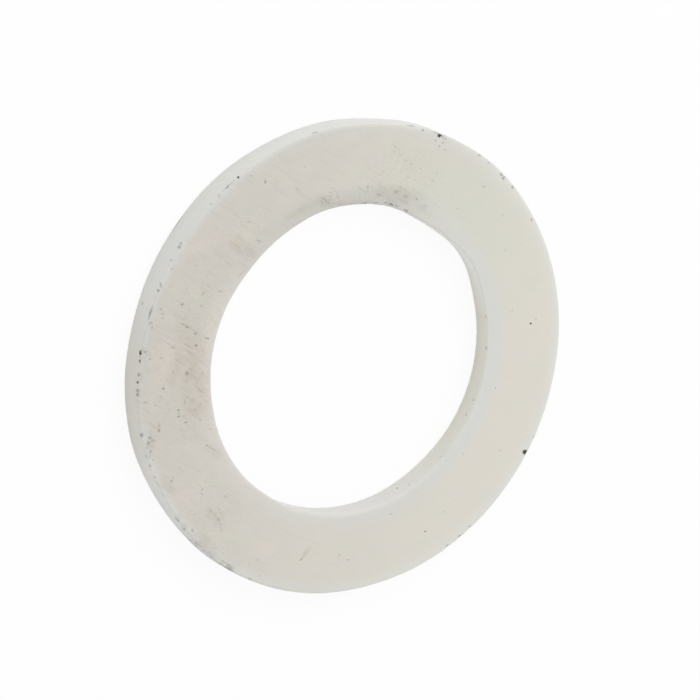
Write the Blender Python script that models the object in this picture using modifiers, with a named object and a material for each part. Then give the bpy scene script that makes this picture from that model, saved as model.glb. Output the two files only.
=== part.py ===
"""Flat washer turned from natural white nylon sheet.

The washer is one solid ring: two flat faces, an outer rim and a plain bore, with lightly broken edges.
Units are metres. The bore runs along +Z, and the origin is the centre of the lower face.
"""

import math

import bpy

# Driving dimensions
OUTER_DIAMETER = 0.050
BORE_DIAMETER = 0.033
THICKNESS = 0.003
RIM_EDGE_RADIUS = 0.00015
BORE_EDGE_RADIUS = 0.00015

# Fineness of the turned surface
TURN_STEPS = 96
EDGE_STEPS = 3

# A broken edge takes at most this share of the ring's thinner side, so that two edges never meet
LARGEST_EDGE_SHARE = 0.45

# The seam closes within this share of the section's shortest side, so that no edge is merged away
SEAM_SHARE = 0.01

# Natural nylon, a slightly warm off-white with a dull cut surface
NYLON_SRGB = (0xD6, 0xD2, 0xC9)
NYLON_ROUGHNESS = 0.55
NYLON_METALLIC = 0.0

QUARTER_TURN = math.pi / 2


def clear_scene():
    for obj in list(bpy.data.objects):
        bpy.data.objects.remove(obj, do_unlink=True)


def srgb_to_linear(value):
    share = value / 255
    if share <= 0.04045:
        return share / 12.92
    return ((share + 0.055) / 1.055) ** 2.4


def make_nylon():
    material = bpy.data.materials.new("natural_nylon")
    material.use_nodes = True
    shader = material.node_tree.nodes["Principled BSDF"]
    colour = [srgb_to_linear(value) for value in NYLON_SRGB]
    shader.inputs["Base Color"].default_value = (*colour, 1.0)
    shader.inputs["Roughness"].default_value = NYLON_ROUGHNESS
    shader.inputs["Metallic"].default_value = NYLON_METALLIC
    return material


def broken_edge(corner_x, corner_z, side_x, side_z, radius, start):
    """Points of a quarter circle that rounds one corner of the section, turning clockwise from start.

    side_x and side_z are 1 or -1 and say on which side of the corner the material lies.
    """
    centre_x = corner_x + side_x * radius
    centre_z = corner_z + side_z * radius
    points = []
    for step in range(EDGE_STEPS + 1):
        angle = start - QUARTER_TURN * step / EDGE_STEPS
        points.append((centre_x + radius * math.cos(angle), 0.0, centre_z + radius * math.sin(angle)))
    return points


def ring_section():
    """The ring's section at +X, clockwise: over the top, down the rim, under the bottom and up the bore."""
    rim = OUTER_DIAMETER / 2
    bore = BORE_DIAMETER / 2
    largest_edge = min(THICKNESS, rim - bore) * LARGEST_EDGE_SHARE
    rim_edge = min(RIM_EDGE_RADIUS, largest_edge)
    bore_edge = min(BORE_EDGE_RADIUS, largest_edge)
    return (
        broken_edge(rim, THICKNESS, -1, -1, rim_edge, QUARTER_TURN)
        + broken_edge(rim, 0.0, -1, 1, rim_edge, 0.0)
        + broken_edge(bore, 0.0, 1, 1, bore_edge, -QUARTER_TURN)
        + broken_edge(bore, THICKNESS, 1, -1, bore_edge, 2 * QUARTER_TURN)
    )


def turn_ring(name, section, material, collection):
    """Turns a closed section once round Z into a solid ring."""
    edges = [(index, (index + 1) % len(section)) for index in range(len(section))]
    shortest_side = min(math.dist(section[start], section[end]) for start, end in edges)
    mesh = bpy.data.meshes.new(name)
    mesh.from_pydata(section, edges, [])
    mesh.materials.append(material)
    ring = bpy.data.objects.new(name, mesh)
    collection.objects.link(ring)

    turn = ring.modifiers.new("Turn", "SCREW")
    turn.axis = "Z"
    turn.angle = 4 * QUARTER_TURN
    turn.steps = TURN_STEPS
    turn.render_steps = TURN_STEPS
    turn.use_merge_vertices = True
    turn.merge_threshold = shortest_side * SEAM_SHARE
    turn.use_smooth_shade = True

    shading = ring.modifiers.new("Flat faces stay flat", "WEIGHTED_NORMAL")
    shading.keep_sharp = True
    return ring


def main():
    clear_scene()
    collection = bpy.data.collections.new("Flat washer")
    bpy.context.scene.collection.children.link(collection)
    turn_ring("washer_ring", ring_section(), make_nylon(), collection)


main()
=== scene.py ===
import math

import bmesh
import bpy
from mathutils import Matrix, Vector


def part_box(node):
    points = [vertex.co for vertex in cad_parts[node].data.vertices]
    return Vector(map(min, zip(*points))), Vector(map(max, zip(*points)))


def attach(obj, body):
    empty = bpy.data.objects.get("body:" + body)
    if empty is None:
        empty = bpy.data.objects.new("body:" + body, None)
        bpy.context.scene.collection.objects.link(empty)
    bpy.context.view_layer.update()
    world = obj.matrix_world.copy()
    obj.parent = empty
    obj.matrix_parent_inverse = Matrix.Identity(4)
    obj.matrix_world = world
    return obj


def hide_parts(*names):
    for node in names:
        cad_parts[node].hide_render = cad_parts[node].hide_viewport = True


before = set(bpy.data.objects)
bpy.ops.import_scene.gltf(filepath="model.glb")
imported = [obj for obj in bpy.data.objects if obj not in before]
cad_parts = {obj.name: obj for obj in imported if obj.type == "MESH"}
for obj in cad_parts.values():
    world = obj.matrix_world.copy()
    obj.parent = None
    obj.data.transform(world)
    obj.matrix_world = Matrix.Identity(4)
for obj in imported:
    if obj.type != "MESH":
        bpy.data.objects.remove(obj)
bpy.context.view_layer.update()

# The ring's own sizes, in metres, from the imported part
lowCorner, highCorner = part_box("washer_ring")
rimRadius = highCorner.x
thickness = highCorner.z
boreRadius = min(vertex.co.xy.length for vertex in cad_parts["washer_ring"].data.vertices)
mm = 0.001
print("ring", round(rimRadius / mm, 2), round(boreRadius / mm, 2), round(thickness / mm, 2), "mm")


# Section of the ring, turned round the bore
ringShape = {
    "edgeBreak": 0.24,        # mm, sanded corner
    "edgeSteps": 5,
    "boreTight": 0.035,       # mm, the bore was cut a little small
    "edgeCuts": (0.1, 0.25, 0.5, 0.85),  # mm in from each corner, closer where the wear is
    "faceCuts": 11,           # even cuts over the rest of a face
    "wallCuts": 3,            # and over the rest of a wall
    "turnSteps": 1080,        # 0.15 mm round the rim
    "seam": 0.002,            # mm, points nearer than this are one
}

# Wear: where the cutter ran off the round, by degrees round the ring, reach in mm and depth in mm
ringWear = {
    "rimFlats": [             # less than nothing is a swell
        (45, 7.0, -0.11), (82, 6.0, 0.17), (126, 8.2, -0.11), (165, 8.0, 0.12), (185, 5.0, 0.04),
        (200, 5.0, 0.05), (212, 8.0, 0.25), (224, 5.0, 0.07), (275, 8.0, 0.09), (346, 6.0, 0.05),
    ],
    "boreFlats": [
        (28, 5.0, -0.25), (46, 4.0, 0.11), (59, 6.0, 0.50), (78, 5.0, 0.13), (103, 4.0, -0.10),
        (115, 5.0, 0.05), (135, 6.0, 0.15), (186, 5.0, 0.06), (232, 4.0, 0.08), (305, 7.0, 0.11),
    ],
    "boreLean": (0, 84, 0.3, 2.0),  # degrees, degrees along, depth and reach: the bore's front edge leans in
    "rimRubbed": [            # front corner worn down: degrees, length along the edge and depth in mm
        (93, 3.0, 0.10), (103, 3.0, 0.18), (114, 3.5, 0.26), (125, 3.5, 0.30), (136, 3.5, 0.30),
        (147, 3.5, 0.28), (158, 3.0, 0.22), (168, 3.0, 0.12),
    ],
    "rubReach": 1.5,          # mm
    "nickReach": 0.3,
    "burrGrain": 0.7,         # mm, raggedness of the cut edges
    "burrDepth": 0.07,
    "burrWidth": 0.35,
    "waveLength": 9.0,        # mm, the sheet isn't quite flat
    "waveDepth": 0.03,
}

# Nicks in the front edges: degrees round the ring, length along the edge and depth in mm
rimNicks = [
    (170.0, 0.62, 0.13), (171.8, 0.42, 0.11), (175.2, 0.25, 0.06), (177.1, 0.40, 0.13), (179.1, 0.32, 0.11),
    (180.2, 0.22, 0.08), (190.0, 0.45, 0.12), (121.8, 0.25, 0.10), (65.4, 0.45, 0.06), (74.0, 0.70, 0.05),
    (70.4, 0.30, 0.04), (52.7, 0.32, 0.05), (49.3, 0.25, 0.04), (44.6, 0.22, 0.04), (43.4, 0.32, 0.05),
    (-32.1, 0.50, 0.05), (-55.2, 0.30, 0.05), (-58.4, 0.36, 0.04), (-62.5, 0.28, 0.04), (214.0, 0.50, 0.14),
    (217.1, 0.40, 0.15), (223.2, 0.60, 0.14), (225.3, 0.55, 0.12), (227.4, 0.50, 0.14), (228.8, 0.40, 0.10),
    (231.7, 0.45, 0.12), (233.6, 0.50, 0.13), (235.0, 0.75, 0.17), (240.7, 0.25, 0.08),
]
boreNicks = [
    (82.2, 0.70, 0.05), (75.8, 0.45, 0.07), (74.0, 0.75, 0.13), (68.0, 0.22, 0.06), (67.0, 0.24, 0.08),
]


def selectOnly(piece):
    bpy.ops.object.select_all(action="DESELECT")
    piece.select_set(True)
    bpy.context.view_layer.objects.active = piece


def outward(degrees):
    return Vector((math.cos(math.radians(degrees)), math.sin(math.radians(degrees)), 0))


def gradedCuts(start, end, evenCuts):
    # close together at both ends, even between
    ends = [(ringShape["edgeBreak"] + cut) * mm for cut in ringShape["edgeCuts"]]
    near = start + ends[-1]
    far = end - ends[-1]
    even = [near + (far - near) * step / (evenCuts + 1) for step in range(1, evenCuts + 1)]
    return [start + cut for cut in ends] + even + [end - cut for cut in ends]


def cutAcross(spot, normal):
    bpy.ops.mesh.select_all(action="SELECT")
    bpy.ops.mesh.bisect(plane_co=spot, plane_no=normal)


def turnRing():
    bpy.ops.object.select_all(action="DESELECT")
    inner = boreRadius - ringShape["boreTight"] * mm
    bpy.ops.mesh.primitive_plane_add(
        size=1, location=((rimRadius + inner) / 2, 0, thickness / 2), rotation=(math.pi / 2, 0, 0)
    )
    ring = bpy.context.object
    ring.name = "worn_washer"
    ring.scale = (rimRadius - inner, thickness, 1)
    bpy.ops.object.transform_apply(location=True, rotation=True, scale=True)

    # break the corners, keep only the outline, then cut it
    bpy.ops.object.mode_set(mode="EDIT")
    bpy.ops.mesh.select_all(action="SELECT")
    bpy.ops.mesh.bevel(offset=ringShape["edgeBreak"] * mm, segments=ringShape["edgeSteps"], affect="VERTICES")
    bpy.ops.mesh.select_all(action="SELECT")
    bpy.ops.mesh.delete(type="ONLY_FACE")
    for across in gradedCuts(inner, rimRadius, ringShape["faceCuts"]):
        cutAcross((across, 0, 0), (1, 0, 0))
    for up in gradedCuts(0, thickness, ringShape["wallCuts"]):
        cutAcross((0, 0, up), (0, 0, 1))
    bpy.ops.object.mode_set(mode="OBJECT")

    turn = ring.modifiers.new("turn", "SCREW")
    turn.axis = "Z"
    turn.angle = 2 * math.pi
    turn.steps = ringShape["turnSteps"]
    turn.render_steps = ringShape["turnSteps"]
    turn.use_merge_vertices = True
    turn.merge_threshold = ringShape["seam"] * mm
    bpy.ops.object.modifier_apply(modifier=turn.name)
    bpy.ops.object.mode_set(mode="EDIT")
    bpy.ops.mesh.select_all(action="SELECT")
    bpy.ops.mesh.remove_doubles(threshold=ringShape["seam"] * mm)
    bpy.ops.mesh.normals_make_consistent(inside=False)
    bpy.ops.object.mode_set(mode="OBJECT")
    return ring


def push(ring, picked, move, reach):
    # pushes the picked points and drags what lies within reach along
    shape = bmesh.from_edit_mesh(ring.data)
    for vertex in shape.verts:
        vertex.select_set(picked(vertex.co))
    bmesh.update_edit_mesh(ring.data)
    bpy.ops.transform.translate(
        value=move,
        use_proportional_edit=True,
        proportional_edit_falloff="SMOOTH",
        proportional_size=reach * mm,
    )


def wearRing(ring):
    selectOnly(ring)
    bpy.ops.object.mode_set(mode="EDIT")
    bpy.ops.mesh.select_mode(type="VERT")
    corner = ringShape["edgeBreak"] * mm
    oneStep = 2 * math.pi / ringShape["turnSteps"]

    # flats go right down the wall, and push it towards the middle
    for flats, radius in ((ringWear["rimFlats"], rimRadius), (ringWear["boreFlats"], boreRadius)):
        for degrees, reach, depth in flats:
            out = outward(degrees)
            push(
                ring,
                lambda spot: abs(spot.xy.length - radius) < corner / 3 and spot.xy.angle(out.xy) < oneStep,
                -out * depth * mm,
                reach,
            )

    # the bore isn't quite square to the face
    degrees, along, depth, reach = ringWear["boreLean"]
    out = outward(degrees)
    push(
        ring,
        lambda spot: spot.z > thickness - 2 * corner
        and spot.xy.length < boreRadius + 2 * corner
        and spot.xy.angle(out.xy) < math.radians(along / 2),
        -out * depth * mm,
        reach,
    )

    # rubbing and nicks press the front corner down and into the material
    for nicks, radius, inward, reach in (
        (ringWear["rimRubbed"], rimRadius, -1, ringWear["rubReach"]),
        (rimNicks, rimRadius, -1, ringWear["nickReach"]),
        (boreNicks, boreRadius, 1, ringWear["nickReach"]),
    ):
        for degrees, length, depth in nicks:
            out = outward(degrees)
            spread = length * mm / 2 / radius
            push(
                ring,
                lambda spot: spot.z > thickness - corner
                and abs(spot.xy.length - radius) < 2 * corner
                and spot.xy.angle(out.xy) < spread,
                (out * inward - Vector((0, 0, 1))).normalized() * depth * mm,
                reach,
            )
    bpy.ops.object.mode_set(mode="OBJECT")

    # ragged cut edges, then a slow wave over the faces; both only take material away
    edges = ring.vertex_groups.new(name="cut edges")
    for vertex in ring.data.vertices:
        inFromWall = min(rimRadius - vertex.co.xy.length, vertex.co.xy.length - boreRadius)
        inFromFace = min(vertex.co.z, thickness - vertex.co.z)
        share = 1 - max(inFromWall, inFromFace) / (ringWear["burrWidth"] * mm)
        if share > 0:
            edges.add([vertex.index], min(share, 1), "REPLACE")
    for name, length, depth, group in (
        ("ragged edges", ringWear["burrGrain"], ringWear["burrDepth"], edges.name),
        ("uneven sheet", ringWear["waveLength"], ringWear["waveDepth"], ""),
    ):
        clouds = bpy.data.textures.new(name, "CLOUDS")
        clouds.noise_scale = length * mm
        wear = ring.modifiers.new(name, "DISPLACE")
        wear.texture = clouds
        wear.texture_coords = "LOCAL"
        wear.mid_level = 0
        wear.strength = -depth * mm
        wear.vertex_group = group
        bpy.ops.object.modifier_apply(modifier=wear.name)
    bpy.ops.object.shade_smooth_by_angle(angle=math.radians(50))


ring = turnRing()
print("turned", len(ring.data.vertices), "points")
wearRing(ring)
print("worn")


# Materials
def linear(hexColour):
    parts = [int(hexColour[start:start + 2], 16) / 255 for start in (1, 3, 5)]
    return [part / 12.92 if part <= 0.04045 else ((part + 0.055) / 1.055) ** 2.4 for part in parts] + [1]


def addNode(tree, kind, inputs, **settings):
    node = tree.nodes.new(kind)
    for name, value in settings.items():
        setattr(node, name, value)
    for socket, value in inputs.items():
        if isinstance(value, bpy.types.NodeSocket):
            tree.links.new(value, node.inputs[socket])
        else:
            node.inputs[socket].default_value = value
    return node.outputs[2] if kind == "ShaderNodeMix" else node.outputs[0]


# Natural nylon 6, sawn from sheet and sanded by hand: off-white with a little yellow, dull, and a touch
# translucent at the edges. Grey-brown grime lies in the saw lines, dark grit sits in pores, and dark marks
# lie along the nicks.
nylonLook = {
    "clean": "#DDD9CF",
    "handledAndShaded": "#D0CBC2",       # left side, rubbed and grey: partly handling grime, partly painted shade darkening the face towards the left
    "rosy": "#E2D6CE",          # slow tints in the sheet
    "mossy": "#D4D6C9",
    "rimClean": "#DDDDD6",      # beside the rim, less yellow
    # beside the rim on the left, greyer: partly handling grime, partly painted shade of the rounded front
    # corner
    "rimHandledAndShaded": "#CDCCC7",
    "boreClean": "#D7D8D4",     # beside the bore, cooler
    # beside the bore on the left, lighter than the face around it: painted highlight along the rounded bore
    # edge
    "boreHandledHighlight": "#D8D3CB",
    "boreUpperShade": "#C8C7C0",     # painted shade beside the bore's upper edge
    "rimWall": "#E0E0DC",       # fresh cut
    # far left of the rim wall, darker: partly handling grime, partly painted shade
    "rimWallHandledAndShaded": "#DAD7CF",
    "boreWallLow": "#DEDDDA",
    "boreWall": "#E2E0D6",
    # upper bore wall, lighter: painted light where the wall faces away from the key light
    "boreWallPaintedLight": "#EFEFEB",
    "stain": "#9C8469",
    "grime": "#8A7F73",
    "grit": "#1E1A17",
    "roughness": (0.46, 0.62),
    "handledAndShadedTowards": (-0.93, 0.36, 0),
    "handledAndShadedReach": (-22.0, 24.0),   # mm along that way, from clean to handled and shaded
    "handledAndShadedWander": 14.0,      # mm
    "tintShare": 0.24,          # how much the slow tints cover, and the drawn places of one
    "placeShare": 0.8,
    "rimBand": (1.8, 0.1),      # mm in from the rim, where the band starts and where it is full
    "boreBand": (2.6, 0.3),
    "rubbedSides": (138, 216),  # degrees round the ring
    "rubbedReach": (20.5, 24.0),     # mm along that way
    "rubbedBand": 1.5,          # mm in from the rim
    "rubbedShare": 0.48,
    "stainShare": 0.3,
    "markWobble": 0.32,         # mm, ragged outlines of the marks
    "wobblesPerMm": 4.5,
    "markFade": 0.1,            # a mark starts where its spot is this strong
    "ior": 1.53,
    "translucency": 0.3,
    "bleed": (1.0, 0.85, 0.65),      # mm that red, green and blue light spreads inside
    "reliefDepth": 0.04,        # mm
    "sawTurn": 33,              # degrees, the saw lines fall to the right
    "sawPitch": 0.26,           # mm
    "sawLength": 1.8,
    "sawShare": 0.11,
    "scuffPitch": 0.12,
    "scuffLength": 0.5,
    "scuffShare": 0.2,
    "grain": 0.3,              # mm, sanding grain is nearer 0.05, drawn coarser to show
}

# Marks on the front face: x, y, length and width in mm, and the turn of the length in degrees;
# a sixth number is the height of a mark on a wall; each is set on the nearest point of the worn ring
# the marks with a height, on the rim wall at the left and lower left, are dark marks along the nicks of the
# front edge
gritMarks = [
    (10.28, 22.48, 0.48, 0.32, -5), (20.95, -13.15, 0.7, 0.48, -18), (21.35, 0.85, 0.25, 0.2, 30),
    (8.75, -19.9, 0.22, 0.11, -10), (4.6, 15.92, 0.45, 0.13, -24), (-13.14, 21.22, 0.2, 0.18, 30, 2.9),
    (-24.54, 4.28, 0.46, 0.1, 80, 2.8), (-24.66, 3.5, 0.36, 0.1, 82, 2.85),
    (-24.91, 1.25, 0.26, 0.11, 88, 2.85),
]
poreMarks = [
    (-24.92, 0.37, 0.36, 0.3, 88, 2.88), (-24.94, -0.05, 0.3, 0.28, 90, 2.85),
    (-23.4, 8.39, 1.2, 0.21, 73, 2.82), (-24.75, 2.07, 0.34, 0.18, 85, 2.92),
    (-24.54, -4.38, 0.4, 0.24, 100, 2.88), (10.3, 22.75, 1.4, 0.12, -23),
    (-20.32, -14.07, 0.5, 0.24, -56, 2.5), (-19.37, -15.36, 0.5, 0.6, -52, 2.3),
    (-18.11, -17.01, 0.6, 0.8, -47, 1.2), (-17.49, -17.67, 0.6, 0.8, -45, 1.3),
    (-16.87, -18.35, 0.5, 0.5, -43, 1.4), (-16.43, -18.77, 0.5, 0.6, -41, 1.6),
    (-15.48, -19.6, 0.8, 0.8, -38, 2.0), (-14.83, -20.11, 1.0, 1.0, -36, 2.3),
    (-14.34, -20.48, 0.8, 0.5, -35, 2.7),
    (-22.21, 11.22, 0.5, 0.15, 88), (-22.5, 10.58, 0.26, 0.22, 60), (-23.36, 8.92, 0.3, 0.26, 69, 1.0),
    (19.1, 15.85, 0.34, 0.22, -50), (21.4, 12.0, 0.3, 0.22, -60), (14.2, -20.4, 0.4, 0.28, 35),
    (13.0, -21.15, 0.45, 0.2, 32), (11.4, -21.9, 0.3, 0.14, 28), (-12.2, -21.75, 0.26, 0.18, -30),
    (7.05, 23.92, 0.9, 0.3, -16, 2.65), (4.0, 16.15, 0.45, 0.16, -14), (5.25, 15.72, 0.4, 0.1, -28),
    (1.6, 16.52, 1.0, 0.1, -4), (2.7, 16.38, 0.6, 0.1, -9), (6.2, 15.2, 0.24, 0.2, 0),
    (6.4, 15.02, 0.26, 0.2, 0),
    (-4.1, 24.65, 0.6, 0.24, 9, 2.5), (14.78, -6.57, 0.24, 0.22, 66, 2.5),
    (6.28, -15.28, 0.3, 0.24, 22, 1.45), (-19.75, 8.78, 0.36, 0.17, -5), (-18.3, 5.5, 0.36, 0.2, -30),
    (-16.87, 4.78, 0.38, 0.2, -30), (-19.2, 6.3, 0.34, 0.13, -30),
    (-18.2, 4.25, 0.3, 0.2, 0), (-19.25, 1.45, 0.34, 0.24, 80),
    (-21.95, 0.22, 0.28, 0.2, 0), (-23.4, 3.55, 0.22, 0.14, 0), (-20.25, -2.3, 0.26, 0.18, 0),
    (-20.26, -2.98, 0.34, 0.13, -8), (-19.45, -3.75, 0.28, 0.2, 0), (-22.55, -4.1, 0.24, 0.2, 60),
    (-23.6, -4.7, 0.36, 0.26, -25), (-23.75, -5.25, 0.32, 0.26, 60), (-23.5, -6.2, 0.32, 0.24, 70),
    (-23.6, -7.7, 0.26, 0.12, 85), (-21.15, -9.7, 0.3, 0.18, -15), (-20.05, 14.88, 0.36, 0.3, -20, 2.65),
    (-19.8, 15.2, 0.24, 0.22, 30, 2.7), (-14.43, 20.36, 0.8, 0.12, 38, 2.87), (-10.15, 20.3, 0.3, 0.2, 80),
    (-12.05, 16.35, 0.26, 0.14, 0), (1.8, 18.2, 0.24, 0.16, -20), (7.6, 16.15, 0.28, 0.17, -20),
    (9.8, 22.0, 0.2, 0.14, -30), (10.95, 22.05, 0.22, 0.18, 0), (10.25, 21.4, 0.24, 0.09, 80),
    (8.3, 23.4, 0.3, 0.18, 0), (18.0, 17.0, 0.46, 0.36, 40), (17.7, 17.4, 0.4, 0.18, -40),
    (15.1, 19.8, 0.34, 0.18, -40), (22.0, 1.25, 0.16, 0.1, 0), (-18.75, -15.35, 0.26, 0.18, -40),
    (-14.5, -19.95, 0.9, 0.14, -42), (10.65, 22.3, 0.2, 0.16, 0), (10.7, 21.7, 0.2, 0.14, 0),
    (-20.3, -14.1, 0.3, 0.12, -56, 2.8), (-19.6, -15.1, 0.26, 0.12, -52, 2.8),
    (-18.1, -17.0, 0.36, 0.14, -47, 2.5), (-17.2, -17.9, 0.4, 0.14, -45, 2.5),
    (-16.4, -18.7, 0.3, 0.12, -42, 2.6), (-15.4, -19.6, 0.5, 0.14, -38, 2.7),
    (-14.7, -20.1, 0.5, 0.14, -36, 2.8),
]
dustAndShadeMarks = [
    (-17.6, -0.75, 0.6, 0.15, -30), (-17.05, -6.55, 0.34, 0.2, -20), (8.7, 15.3, 0.3, 0.22, -20),
    (6.7, 18.55, 0.28, 0.14, 0), (10.95, 20.9, 0.3, 0.14, -20), (-16.32, 18.87, 0.34, 0.2, 0, 2.86),
    (-11.7, 21.1, 0.36, 0.14, -10), (16.03, 2.32, 0.4, 0.3, 97, 2.75), (16.11, -1.08, 0.44, 0.36, 86, 2.75),
    (4.9, 21.6, 0.4, 0.1, -45), (5.6, 21.1, 0.4, 0.1, -42), (6.2, 20.4, 0.36, 0.12, -40),
    (3.6, 19.6, 0.4, 0.1, -42), (2.5, 19.2, 0.4, 0.1, -45), (6.9, 19.9, 0.3, 0.1, -40),
    (8.0, 19.3, 0.3, 0.12, -35), (7.4, 18.2, 0.3, 0.1, -35), (9.5, 17.8, 0.4, 0.14, -40),
    (10.0, 18.6, 0.3, 0.1, -40), (-3.6, 17.3, 0.5, 0.18, -55), (-3.3, 17.6, 0.5, 0.14, -50),
    (-2.6, 17.8, 0.4, 0.14, -50), (-1.7, 17.6, 0.5, 0.16, -50), (3.0, 17.2, 0.5, 0.2, -20),
    (6.3, 16.6, 0.6, 0.25, -30),
    (-16.6, -13.6, 0.34, 0.2, -60), (-16.2, -14.0, 0.3, 0.14, -60),
    (-15.75, -14.65, 0.5, 0.24, -50), (-15.5, -15.2, 0.3, 0.16, -70), (-15.45, -15.9, 0.4, 0.14, -70),
    (-22.1, 8.58, 0.34, 0.26, -20), (-22.0, 8.1, 0.36, 0.16, -20),
    (-22.05, 7.65, 0.34, 0.2, 0), (-23.3, 7.3, 0.6, 0.3, 40), (-23.15, 6.85, 0.4, 0.25, 60),
    (-15.45, 9.5, 0.4, 0.26, -10), (-17.3, 9.6, 0.4, 0.3, 0), (-17.6, 8.25, 0.24, 0.22, 0),
    (-19.65, 6.65, 0.34, 0.18, -30), (-20.85, 4.38, 0.46, 0.2, -25), (-24.0, 4.4, 0.5, 0.25, 0),
    (-22.15, 3.5, 0.3, 0.26, 0), (-20.9, 1.9, 0.26, 0.2, 0), (-18.9, 1.85, 0.26, 0.2, 0),
    (-17.5, 1.25, 0.32, 0.26, 0), (-19.4, 0.65, 0.34, 0.26, 0), (-24.0, -0.95, 0.5, 0.24, -25),
    (-22.35, -0.55, 0.3, 0.2, -30), (-22.9, -1.4, 0.26, 0.16, -20), (-19.3, -1.0, 0.7, 0.12, -40),
    (-19.55, -1.5, 0.2, 0.5, 0), (-20.25, -2.7, 0.3, 0.18, 0), (-17.05, -1.9, 0.34, 0.17, 0),
    (-18.4, -2.55, 0.36, 0.22, -20), (-17.75, -3.7, 0.3, 0.2, -20), (-22.5, -3.6, 0.3, 0.22, 80),
    (-23.15, -5.05, 0.44, 0.3, -10), (-24.0, -6.65, 0.4, 0.16, 80), (-23.6, -6.7, 0.4, 0.18, 85),
    (-23.2, -7.1, 0.3, 0.24, 0), (-23.2, -9.1, 0.4, 0.28, 60), (-16.65, -4.85, 0.26, 0.22, 0),
    (-20.2, -8.5, 0.36, 0.1, -45), (-20.95, -9.35, 0.26, 0.2, 0), (-17.65, -11.6, 0.4, 0.16, -20),
    (-17.6, -11.1, 0.24, 0.14, 0), (-21.1, 13.65, 0.3, 0.26, 0), (-20.8, 12.6, 0.3, 0.2, 0),
    (-18.1, 12.6, 0.24, 0.16, 0), (-15.45, 19.65, 0.36, 0.26, 40), (-2.6, 18.2, 0.36, 0.14, -35),
    (-5.5, 21.25, 0.4, 0.1, -5), (12.45, 14.45, 0.3, 0.1, -10), (17.85, 13.0, 0.3, 0.16, 60),
    (15.6, 16.4, 0.34, 0.14, -10), (16.2, 18.85, 0.3, 0.2, -40), (19.15, 2.6, 0.4, 0.1, -15),
    (18.2, 9.2, 0.3, 0.12, -20), (17.1, -5.5, 0.24, 0.14, 70), (21.95, -11.6, 0.34, 0.28, 40),
    (17.8, -12.45, 0.26, 0.14, 0), (10.95, -18.1, 0.4, 0.12, 20), (13.3, -12.1, 0.3, 0.12, -10),
    (10.94, -12.3, 0.34, 0.24, 41, 2.4), (4.65, -17.3, 0.3, 0.16, -10), (-11.2, -19.75, 0.36, 0.15, 0),
    (-12.2, -20.05, 0.26, 0.16, 0), (-11.05, -21.5, 0.32, 0.18, 0), (-18.5, -13.7, 0.3, 0.18, 0),
    # the long smear low on the rim wall at (-18.87, 16.4) is painted shade along the rim's lower edge
    (5.1, 17.2, 0.5, 0.3, 0), (-18.87, 16.4, 2.4, 0.4, 49, 0.25), (-6.1, -20.55, 0.46, 0.26, 20),
    (-1.6, -20.85, 0.36, 0.2, -10), (-0.5, -21.5, 0.34, 0.16, -10), (-14.9, -12.3, 0.34, 0.22, 0),
    (14.0, -8.14, 0.4, 0.3, 60, 2.3), (7.23, -14.86, 0.3, 0.24, 26, 2.25),
]
scratchMarks = [
    (-18.6, 5.95, 4.6, 0.09, -34), (-21.4, 4.9, 2.4, 0.1, -38), (-23.3, -3.4, 1.9, 0.12, -42),
    (-16.55, -6.9, 1.5, 0.13, -35), (-21.8, -9.1, 1.1, 0.1, -28), (-18.3, -3.3, 1.7, 0.1, -32),
    (-19.2, 4.4, 1.6, 0.1, -36), (-14.3, 20.45, 2.9, 0.1, 36), (-10.9, 14.2, 0.8, 0.18, -35),
    (-6.4, 19.1, 1.2, 0.09, -38), (-3.2, 17.4, 1.5, 0.12, -35), (5.1, 21.9, 1.2, 0.1, -40),
    (-13.6, 14.1, 1.6, 0.1, -38), (-14.4, 12.3, 1.4, 0.1, -36), (-24.4, 2.0, 1.2, 0.09, 86),
    (-20.4, 7.7, 2.6, 0.07, -33), (-18.9, 3.6, 2.2, 0.08, -36), (-20.0, 2.7, 1.8, 0.07, -37),
    (-17.9, -0.4, 1.6, 0.08, -34), (-18.6, -1.6, 2.4, 0.07, -35), (-19.6, -3.2, 1.4, 0.08, -33),
    (-17.4, 2.2, 1.5, 0.08, -38), (-2.2, 18.4, 2.0, 0.07, -44), (0.9, 18.1, 1.6, 0.07, -40),
    (3.6, 17.9, 1.6, 0.08, -38), (5.8, 17.6, 1.4, 0.08, -36), (-16.9, 10.4, 2.0, 0.07, -36),
    (-15.6, -13.9, 2.2, 0.08, -62), (-15.2, -19.3, 1.6, 0.09, -40), (-23.9, -5.6, 1.6, 0.08, 82),
]
stainMarks = [
    (-18.4, 1.2, 15.0, 4.4, 96), (-19.4, 5.2, 5.0, 3.6, 100), (-16.2, -7.4, 3.0, 1.6, -40),
    (5.4, 17.0, 7.5, 1.9, -14), (8.1, 15.1, 1.6, 0.9, -30), (-3.2, 17.3, 2.6, 1.5, -25),
    (-16.3, -14.3, 3.4, 1.3, -58), (-5.5, -19.9, 2.2, 0.7, 48), (-17.4, -17.4, 6.0, 2.2, -48),
    (-21.7, -10.2, 3.4, 1.6, -45), (-12.6, 13.6, 4.6, 2.0, -42), (2.9, 17.1, 1.4, 0.6, -20),
    (-16.6, -13.7, 1.2, 0.5, -60), (-15.7, -14.6, 1.0, 0.5, -60), (-15.5, -15.5, 1.2, 0.5, -60),
    (-23.5, -5.4, 3.6, 1.4, 82), (-22.6, -3.8, 1.5, 0.5, 80), (-20.2, 2.6, 6.0, 2.4, 70),
    (-18.4, -2.4, 4.4, 3.0, -40), (-13.0, 11.0, 1.6, 0.4, 50), (-1.0, 16.8, 8.0, 0.7, -3),
    (5.5, 16.4, 5.0, 0.7, -28), (-6.0, 16.7, 4.5, 1.0, 20),
]
mossyPlaces = [(13.0, 14.0, 22.0, 13.0, -45)]
scuffMarks = [
    (-19.5, 1.0, 17.0, 9.0, 95), (-17.5, 9.0, 10.0, 7.0, 50), (6.0, 18.8, 9.0, 5.5, -30),
    (0.0, 17.4, 13.0, 2.0, 0), (-16.5, -13.0, 8.0, 6.0, -50), (-13.0, 14.5, 8.0, 5.0, 40),
    (-16.5, -18.0, 9.0, 2.0, -43),
]


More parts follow.
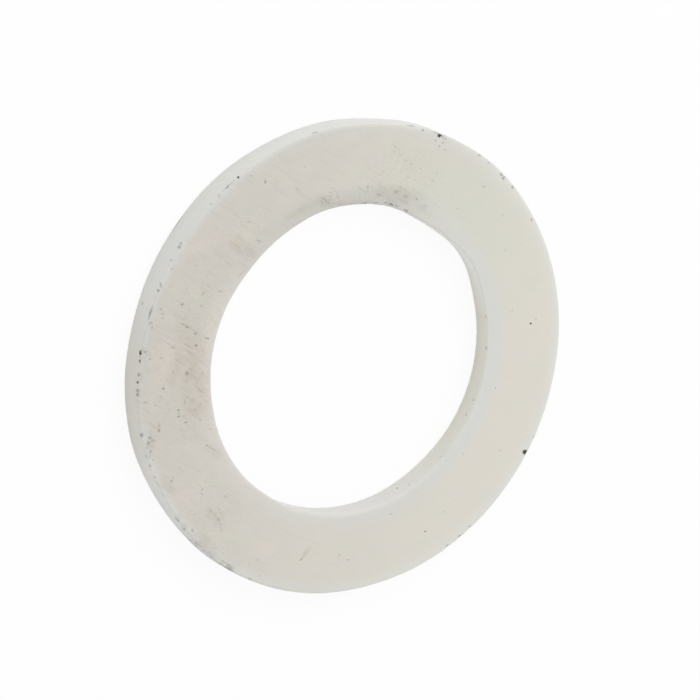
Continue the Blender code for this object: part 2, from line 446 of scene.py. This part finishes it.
def spotMask(tree, place, marks, spread):
    # an oval spot for each mark, set on the worn surface: 1 in its middle, 0 at spread times its size
    mask = 0.0
    for x, y, length, width, turn, *up in marks:
        near = Vector((x, y, up[0] if up else thickness / mm)) * mm
        inSpot = addNode(
            tree,
            "ShaderNodeMapping",
            {
                "Vector": place,
                "Location": ring.closest_point_on_mesh(near)[1] / mm,
                "Rotation": (0, 0, math.radians(turn)),
                "Scale": Vector((length, width, max(width, 0.3))) / 2 * spread,
            },
            vector_type="TEXTURE",
        )
        spot = addNode(tree, "ShaderNodeTexGradient", {"Vector": inSpot}, gradient_type="SPHERICAL")
        spot = spot.node.outputs["Fac"]
        mask = addNode(tree, "ShaderNodeMath", {0: mask, 1: spot}, operation="MAXIMUM")
    return mask


def makeNylon():
    look = nylonLook
    nylon = bpy.data.materials.new("natural nylon, sawn and sanded")
    nylon.use_nodes = True
    tree = nylon.node_tree
    shader = tree.nodes["Principled BSDF"]
    coords = tree.nodes.new("ShaderNodeTexCoord")

    # places in mm, also with a ragged edge for the marks and turned along the saw lines
    place = addNode(
        tree, "ShaderNodeVectorMath", {0: coords.outputs["Object"], "Scale": 1 / mm}, operation="SCALE"
    )
    wobbles = look["wobblesPerMm"]
    wobble = addNode(tree, "ShaderNodeTexNoise", {"Vector": place, "Scale": wobbles, "Detail": 1.0})
    wobble = wobble.node.outputs["Color"]
    wobble = addNode(tree, "ShaderNodeVectorMath", {0: wobble, 1: (0.5, 0.5, 0.5)}, operation="SUBTRACT")
    wobble = addNode(
        tree, "ShaderNodeVectorMath", {0: wobble, "Scale": look["markWobble"]}, operation="SCALE"
    )
    ragged = addNode(tree, "ShaderNodeVectorMath", {0: place, 1: wobble}, operation="ADD")
    sawn = addNode(
        tree, "ShaderNodeMapping", {"Vector": place, "Rotation": (0, 0, math.radians(look["sawTurn"]))}
    )
    flat = addNode(tree, "ShaderNodeVectorMath", {0: place, 1: (1, 1, 0)}, operation="MULTIPLY")
    radius = addNode(tree, "ShaderNodeVectorMath", {0: flat}, operation="LENGTH")
    radius = radius.node.outputs["Value"]
    axes = addNode(tree, "ShaderNodeSeparateXYZ", {0: place}).node.outputs

    # rubbed and grey towards the left, and darker there: partly handling grime, partly painted shade
    towardsLeft = addNode(
        tree, "ShaderNodeVectorMath", {0: place, 1: look["handledAndShadedTowards"]}, operation="DOT_PRODUCT"
    )
    towardsLeft = towardsLeft.node.outputs["Value"]
    cloud = addNode(tree, "ShaderNodeTexNoise", {"Vector": place, "Scale": 0.16, "Detail": 3.0})
    wander = look["handledAndShadedWander"]
    cloud = addNode(tree, "ShaderNodeMath", {0: cloud, 1: wander, 2: -wander / 2}, operation="MULTIPLY_ADD")
    towardsLeft = addNode(tree, "ShaderNodeMath", {0: towardsLeft, 1: cloud}, operation="ADD")
    start, end = look["handledAndShadedReach"]
    handledAndShaded = addNode(
        tree,
        "ShaderNodeMapRange",
        {"Value": towardsLeft, "From Min": start, "From Max": end},
        interpolation_type="SMOOTHSTEP",
    )
    colour = addNode(
        tree,
        "ShaderNodeMix",
        {0: handledAndShaded, 6: linear(look["clean"]), 7: linear(look["handledAndShaded"])},
        data_type="RGBA",
    )

    # slow tints
    for hue, seed, places in (("rosy", 3.0, []), ("mossy", 41.0, mossyPlaces)):
        tint = addNode(
            tree, "ShaderNodeVectorMath", {0: place, 1: (seed, -seed, seed)}, operation="ADD"
        )
        tint = addNode(tree, "ShaderNodeTexNoise", {"Vector": tint, "Scale": 0.3, "Detail": 2.0})
        tint = addNode(
            tree,
            "ShaderNodeMapRange",
            {"Value": tint, "From Min": 0.5, "From Max": 0.7, "To Max": look["tintShare"]},
        )
        soft = spotMask(tree, place, places, 1.3)
        tint = addNode(
            tree,
            "ShaderNodeMath",
            {0: soft, 1: look["placeShare"], 2: tint},
            operation="MULTIPLY_ADD",
            use_clamp=True,
        )
        colour = addNode(
            tree,
            "ShaderNodeMix",
            {0: tint, 6: colour, 7: linear(look[hue])},
            data_type="RGBA",
        )

    # bands beside the rim and the bore: on the left the rim band is partly painted shade and the bore band a
    # painted highlight, and a painted shade lies beside the bore's upper edge
    rim = rimRadius / mm
    bore = boreRadius / mm
    # where the painted shade beside the bore's upper edge lies
    boreUpperShadeMask = addNode(tree, "ShaderNodeMapRange", {"Value": axes["Y"], "From Min": 8.0, "From Max": 17.0})
    notRight = addNode(tree, "ShaderNodeMapRange", {"Value": axes["X"], "From Min": 12.0, "From Max": 5.0})
    boreUpperShadeMask = addNode(tree, "ShaderNodeMath", {0: boreUpperShadeMask, 1: notRight}, operation="MULTIPLY")
    rimStart, rimFull = look["rimBand"]
    boreStart, boreFull = look["boreBand"]
    for start, end, clean, worn in (
        (rim - rimStart, rim - rimFull, "rimClean", "rimHandledAndShaded"),
        (bore + boreStart, bore + boreFull, "boreClean", "boreHandledHighlight"),
    ):
        band = addNode(
            tree,
            "ShaderNodeMapRange",
            {"Value": radius, "From Min": start, "From Max": end},
            interpolation_type="SMOOTHSTEP",
        )
        hue = addNode(
            tree,
            "ShaderNodeMix",
            {0: handledAndShaded, 6: linear(look[clean]), 7: linear(look[worn])},
            data_type="RGBA",
        )
        if clean == "boreClean":
            hue = addNode(
                tree, "ShaderNodeMix", {0: boreUpperShadeMask, 6: hue, 7: linear(look["boreUpperShade"])}, data_type="RGBA"
            )
        colour = addNode(tree, "ShaderNodeMix", {0: band, 6: colour, 7: hue}, data_type="RGBA")

    # where the front corner is rubbed it shows fresh material
    rubbed = 0.0
    start, end = look["rubbedReach"]
    for degrees in look["rubbedSides"]:
        outThere = addNode(
            tree, "ShaderNodeVectorMath", {0: place, 1: outward(degrees)}, operation="DOT_PRODUCT"
        )
        outThere = outThere.node.outputs["Value"]
        side = addNode(tree, "ShaderNodeMapRange", {"Value": outThere, "From Min": start, "From Max": end})
        rubbed = addNode(tree, "ShaderNodeMath", {0: rubbed, 1: side}, operation="MAXIMUM")
    fresh = addNode(
        tree,
        "ShaderNodeMapRange",
        {
            "Value": radius,
            "From Min": rim - look["rubbedBand"],
            "From Max": rim,
            "To Max": look["rubbedShare"],
        },
        interpolation_type="SMOOTHSTEP",
    )
    fresh = addNode(tree, "ShaderNodeMath", {0: fresh, 1: rubbed}, operation="MULTIPLY")
    colour = addNode(
        tree, "ShaderNodeMix", {0: fresh, 6: colour, 7: linear(look["rimWall"])}, data_type="RGBA"
    )

    # the cut walls: the upper bore wall is lighter, a painted light, and the far left of the rim wall is
    # darker, partly handling grime and partly painted shade
    upright = addNode(tree, "ShaderNodeSeparateXYZ", {0: coords.outputs["Normal"]}).node.outputs["Z"]
    upright = addNode(tree, "ShaderNodeMath", {0: upright}, operation="ABSOLUTE")
    wall = addNode(
        tree,
        "ShaderNodeMapRange",
        {"Value": upright, "From Min": 0.6, "From Max": 0.15},
        interpolation_type="SMOOTHSTEP",
    )
    farLeft = addNode(tree, "ShaderNodeMapRange", {"Value": axes["X"], "From Min": -23.0, "From Max": -25.0})
    farRight = addNode(tree, "ShaderNodeMapRange", {"Value": axes["X"], "From Min": 3.0, "From Max": 15.0})
    aboveMiddle = addNode(tree, "ShaderNodeMapRange", {"Value": axes["Y"], "From Min": 2.0, "From Max": 9.0})
    nearBore = addNode(
        tree, "ShaderNodeMapRange", {"Value": radius, "From Min": bore + 2, "From Max": bore + 1}
    )
    rimHue = addNode(
        tree,
        "ShaderNodeMix",
        {0: farLeft, 6: linear(look["rimWall"]), 7: linear(look["rimWallHandledAndShaded"])},
        data_type="RGBA",
    )
    boreHue = addNode(
        tree,
        "ShaderNodeMix",
        {0: farRight, 6: linear(look["boreWallLow"]), 7: linear(look["boreWall"])},
        data_type="RGBA",
    )
    # painted light on the upper bore wall
    boreHue = addNode(
        tree, "ShaderNodeMix", {0: aboveMiddle, 6: boreHue, 7: linear(look["boreWallPaintedLight"])}, data_type="RGBA"
    )
    hue = addNode(tree, "ShaderNodeMix", {0: nearBore, 6: rimHue, 7: boreHue}, data_type="RGBA")
    colour = addNode(tree, "ShaderNodeMix", {0: wall, 6: colour, 7: hue}, data_type="RGBA")

    # soft stains, broken up
    patch = addNode(tree, "ShaderNodeTexNoise", {"Vector": place, "Scale": 0.9, "Detail": 4.0})
    patch = addNode(tree, "ShaderNodeMapRange", {"Value": patch, "From Min": 0.15, "From Max": 0.85})
    stain = spotMask(tree, ragged, stainMarks, 1.2)
    stain = addNode(
        tree,
        "ShaderNodeMapRange",
        {"Value": stain, "From Min": 0.0, "From Max": 0.9},
        interpolation_type="SMOOTHSTEP",
    )
    stain = addNode(tree, "ShaderNodeMath", {0: stain, 1: patch}, operation="MULTIPLY")
    tint = addNode(tree, "ShaderNodeMath", {0: stain, 1: look["stainShare"]}, operation="MULTIPLY")
    colour = addNode(
        tree, "ShaderNodeMix", {0: tint, 6: colour, 7: linear(look["stain"])}, data_type="RGBA"
    )

    # saw lines: long along the cut, one pitch across, darker where grime stays in them
    stretch = (1 / look["sawLength"], 1 / look["sawPitch"], 0.5)
    lines = addNode(tree, "ShaderNodeVectorMath", {0: sawn, 1: stretch}, operation="MULTIPLY")
    lines = addNode(tree, "ShaderNodeTexNoise", {"Vector": lines, "Scale": 1.0, "Detail": 3.0})
    deep = addNode(tree, "ShaderNodeMapRange", {"Value": lines, "From Min": 0.54, "From Max": 0.74})
    held = addNode(tree, "ShaderNodeMath", {0: handledAndShaded, 1: stain}, operation="ADD")
    held = addNode(tree, "ShaderNodeMath", {0: held, 1: deep}, operation="MULTIPLY")
    face = addNode(tree, "ShaderNodeMapRange", {"Value": wall, "To Min": look["sawShare"], "To Max": 0.0})
    held = addNode(tree, "ShaderNodeMath", {0: held, 1: face}, operation="MULTIPLY")
    colour = addNode(
        tree, "ShaderNodeMix", {0: held, 6: colour, 7: linear(look["grime"])}, data_type="RGBA"
    )

    # short fine scuffs, most on the rubbed side
    stretch = (1 / look["scuffLength"], 1 / look["scuffPitch"], 2.0)
    strokes = addNode(tree, "ShaderNodeVectorMath", {0: sawn, 1: stretch}, operation="MULTIPLY")
    strokes = addNode(tree, "ShaderNodeTexNoise", {"Vector": strokes, "Scale": 1.0, "Detail": 2.0})
    strokes = addNode(tree, "ShaderNodeMapRange", {"Value": strokes, "From Min": 0.52, "From Max": 0.72})
    scuffed = spotMask(tree, ragged, scuffMarks, 1.3)
    scuffed = addNode(
        tree, "ShaderNodeMapRange", {"Value": scuffed, "From Max": 0.5, "To Max": look["scuffShare"]}
    )
    scuffed = addNode(tree, "ShaderNodeMath", {0: scuffed, 1: strokes}, operation="MULTIPLY")
    colour = addNode(
        tree, "ShaderNodeMix", {0: scuffed, 6: colour, 7: linear(look["grime"])}, data_type="RGBA"
    )

    # scratches, dust with one painted shade, dark pores and black grit: spread, where it is full, and how
    # much it covers
    for marks, spread, full, share, hue in (
        (scratchMarks, 1.3, 0.7, 0.4, "grime"),
        (dustAndShadeMarks, 1.6, 0.75, 0.38, "grime"),
        (poreMarks, 1.8, 0.75, 0.45, "grit"),
        (gritMarks, 1.5, 0.4, 0.97, "grit"),
    ):
        mask = spotMask(tree, ragged, marks, spread)
        cover = addNode(
            tree,
            "ShaderNodeMapRange",
            {"Value": mask, "From Min": look["markFade"], "From Max": full, "To Max": share},
        )
        colour = addNode(
            tree, "ShaderNodeMix", {0: cover, 6: colour, 7: linear(look[hue])}, data_type="RGBA"
        )
    tree.links.new(colour, shader.inputs["Base Color"])

    # dull where sanded, a little smoother between the lines
    low, high = look["roughness"]
    rough = addNode(
        tree,
        "ShaderNodeMapRange",
        {"Value": lines, "From Min": 0.3, "From Max": 0.7, "To Min": low, "To Max": high},
    )
    tree.links.new(rough, shader.inputs["Roughness"])

    # relief: grain and saw lines stand up, scratches and pores go in
    grain = addNode(tree, "ShaderNodeTexNoise", {"Vector": place, "Scale": 1 / look["grain"], "Detail": 2.0})
    relief = addNode(tree, "ShaderNodeMath", {0: grain, 1: 0.3}, operation="MULTIPLY")
    relief = addNode(tree, "ShaderNodeMath", {0: lines, 1: -0.7, 2: relief}, operation="MULTIPLY_ADD")
    scratch = spotMask(tree, ragged, scratchMarks, 1.0)
    relief = addNode(tree, "ShaderNodeMath", {0: scratch, 1: -0.5, 2: relief}, operation="MULTIPLY_ADD")
    depth = look["reliefDepth"] * mm
    bump = addNode(tree, "ShaderNodeBump", {"Height": relief, "Strength": 0.6, "Distance": depth})
    tree.links.new(bump, shader.inputs["Normal"])

    shader.inputs["IOR"].default_value = look["ior"]
    shader.inputs["Subsurface Weight"].default_value = look["translucency"]
    shader.inputs["Subsurface Radius"].default_value = look["bleed"]
    shader.inputs["Subsurface Scale"].default_value = mm
    return nylon


ring.data.materials.append(makeNylon())
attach(ring, "root")
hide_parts("washer_ring")
print("nylon")


# Floor and light
studio = {
    "floorSize": 3.0,
    "floorGap": 0.02 * mm,     # under the washer, so that the two surfaces stay apart
    "floorColour": "#F8F8F7",
    "floorWhite": 0.9,         # share of plain white that the camera sees on the floor
    "ambient": 0.765,
    "keyPlace": (0.14, 0.26, 0.36),
    "keySize": 0.3,
    "keyPower": 0.64,
}


def cameraSees(tree):
    path = tree.nodes.new("ShaderNodeLightPath")
    seen = addNode(
        tree,
        "ShaderNodeMath",
        {0: path.outputs["Is Camera Ray"], 1: path.outputs["Is Glossy Ray"]},
        operation="MAXIMUM",
    )
    through = path.outputs["Is Transmission Ray"]
    return addNode(tree, "ShaderNodeMath", {0: seen, 1: through}, operation="MAXIMUM")


def makeFloor():
    bpy.ops.object.select_all(action="DESELECT")
    bpy.ops.mesh.primitive_plane_add(size=studio["floorSize"], location=(0, 0, -studio["floorGap"]))
    floor = bpy.context.object
    floor.name = "floor"
    paper = bpy.data.materials.new("matt white paper")
    paper.use_nodes = True
    tree = paper.node_tree
    tree.nodes.clear()
    matt = addNode(tree, "ShaderNodeBsdfDiffuse", {"Color": linear(studio["floorColour"])})
    white = addNode(tree, "ShaderNodeEmission", {"Color": (1, 1, 1, 1), "Strength": 1.0})
    seen = cameraSees(tree)
    share = addNode(tree, "ShaderNodeMath", {0: seen, 1: studio["floorWhite"]}, operation="MULTIPLY")
    both = addNode(tree, "ShaderNodeMixShader", {0: share, 1: matt, 2: white})
    output = tree.nodes.new("ShaderNodeOutputMaterial")
    tree.links.new(both, output.inputs["Surface"])
    floor.data.materials.append(paper)


def makeLight():
    world = bpy.data.worlds.new("soft white room")
    bpy.context.scene.world = world
    world.use_nodes = True
    tree = world.node_tree
    tree.nodes.clear()
    room = addNode(tree, "ShaderNodeBackground", {"Color": (1, 1, 1, 1), "Strength": studio["ambient"]})
    white = addNode(tree, "ShaderNodeBackground", {"Color": (1, 1, 1, 1), "Strength": 1.0})
    both = addNode(tree, "ShaderNodeMixShader", {0: cameraSees(tree), 1: room, 2: white})
    output = tree.nodes.new("ShaderNodeOutputWorld")
    tree.links.new(both, output.inputs["Surface"])

    place = Vector(studio["keyPlace"])
    bpy.ops.object.light_add(type="AREA", location=place, rotation=place.to_track_quat("Z", "Y").to_euler())
    key = bpy.context.object
    key.name = "key light"
    key.data.size = studio["keySize"]
    key.data.energy = studio["keyPower"]


makeFloor()
makeLight()
print("floor and light")


# Camera, where the photograph was taken from
photoView = {
    "imageSide": 700,             # px
    "ringMiddle": (345.26, 356.64),  # px, where the ring's middle falls
    "ringRadius": 243.0,          # px, its rim at that distance
    "distance": 26.0,             # in rim radii
    "tilt": 33.55,                # degrees between the line of sight and the bore
    "tiltBelowRight": 26.45,      # degrees, the way that the front face looks
    "sensor": 36.0,
}


def makeCamera():
    view = photoView
    tilt = math.radians(view["tilt"])
    turn = math.radians(view["tiltBelowRight"])
    # the washer's axes as the camera sees them: right, up and towards the lens
    bore = Vector((math.sin(tilt) * math.cos(turn), -math.sin(tilt) * math.sin(turn), math.cos(tilt)))
    up = Vector((0, bore.z, -bore.y)).normalized()
    aim = Matrix((up.cross(bore), up, bore))
    half = view["imageSide"] / 2
    pxPerMetre = view["ringRadius"] / rimRadius
    away = view["distance"] * rimRadius
    middleX, middleY = view["ringMiddle"]
    middle = Vector(((middleX - half) / pxPerMetre, (half - middleY) / pxPerMetre, -away))
    spot = Vector((0, 0, thickness / 2)) - aim @ middle
    bpy.ops.object.camera_add(location=spot, rotation=aim.to_euler())
    camera = bpy.context.object
    camera.data.sensor_width = view["sensor"]
    camera.data.lens = pxPerMetre * away * view["sensor"] / view["imageSide"]
    bpy.context.scene.camera = camera


makeCamera()
bpy.context.scene.view_settings.view_transform = "Standard"
print("camera")
